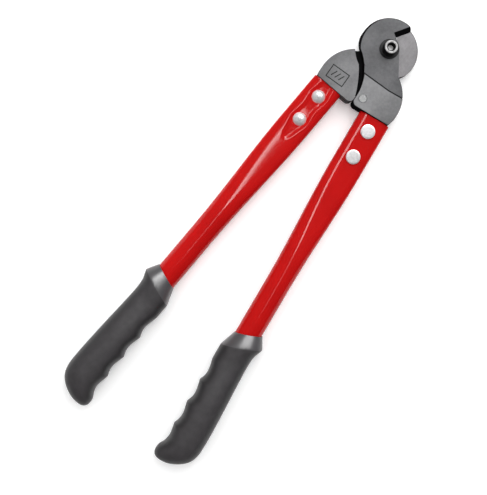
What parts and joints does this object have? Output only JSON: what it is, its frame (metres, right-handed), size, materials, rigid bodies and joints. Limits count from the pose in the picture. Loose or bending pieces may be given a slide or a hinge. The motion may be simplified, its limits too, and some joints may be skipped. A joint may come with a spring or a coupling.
{
  "type": "cable cutter",
  "caption": "Two-handed shear-type cable cutter with hooked forged jaws on a screw pivot, steel tube handles and moulded rubber grips.",
  "frame": {"origin": "on the pivot axis, at the screw's end face, which is in the plane that the tool lies on", "axes": "+Z along the pivot axis, up from the surface; +Y along the tool from the grips to the head; +X to the side of the front jaw's handle"},
  "size_m": [0.1444, 0.4513, 0.0353],
  "materials": {
    "forged_steel": "phosphated forged steel, satin grey, with bare ground cutting faces",
    "black_screw": "black oxide, semi gloss",
    "bright_steel": "ground",
    "black_spring": "black oxide, satin",
    "zinc_steel": "bright zinc plate",
    "nylon": "plain nylon",
    "red_enamel": "gloss red powder coat",
    "rivet_steel": "bright, satin",
    "pin_steel": "ground, satin",
    "grip_rubber": "matt, fine grain",
    "plug_plastic": "moulded"
  },
  "bodies": {
    "right_half": {"front_jaw": "forged_steel", "pivot_screw": "black_screw", "pivot_bush": "bright_steel", "disc_spring": "black_spring", "rear_washer": "zinc_steel", "lock_nut": "zinc_steel", "nut_insert": "nylon", "right_end_plug": "plug_plastic", "right_grip": "grip_rubber", "right_lower_rivet": "rivet_steel", "right_stop_pin": "pin_steel", "right_tube": "red_enamel", "right_upper_rivet": "rivet_steel"},
    "left_half": {"rear_jaw": "forged_steel", "left_end_plug": "plug_plastic", "left_grip": "grip_rubber", "left_lower_rivet": "rivet_steel", "left_stop_pin": "pin_steel", "left_tube": "red_enamel", "left_upper_rivet": "rivet_steel"}
  },
  "joints": [
    {"name": "jaw_pivot", "type": "hinge", "parent": "right_half", "child": "left_half", "pos_m": [0, 0, 0.01767], "axis": [0, 0, -1], "range_deg": [0, 110]}
  ]
}
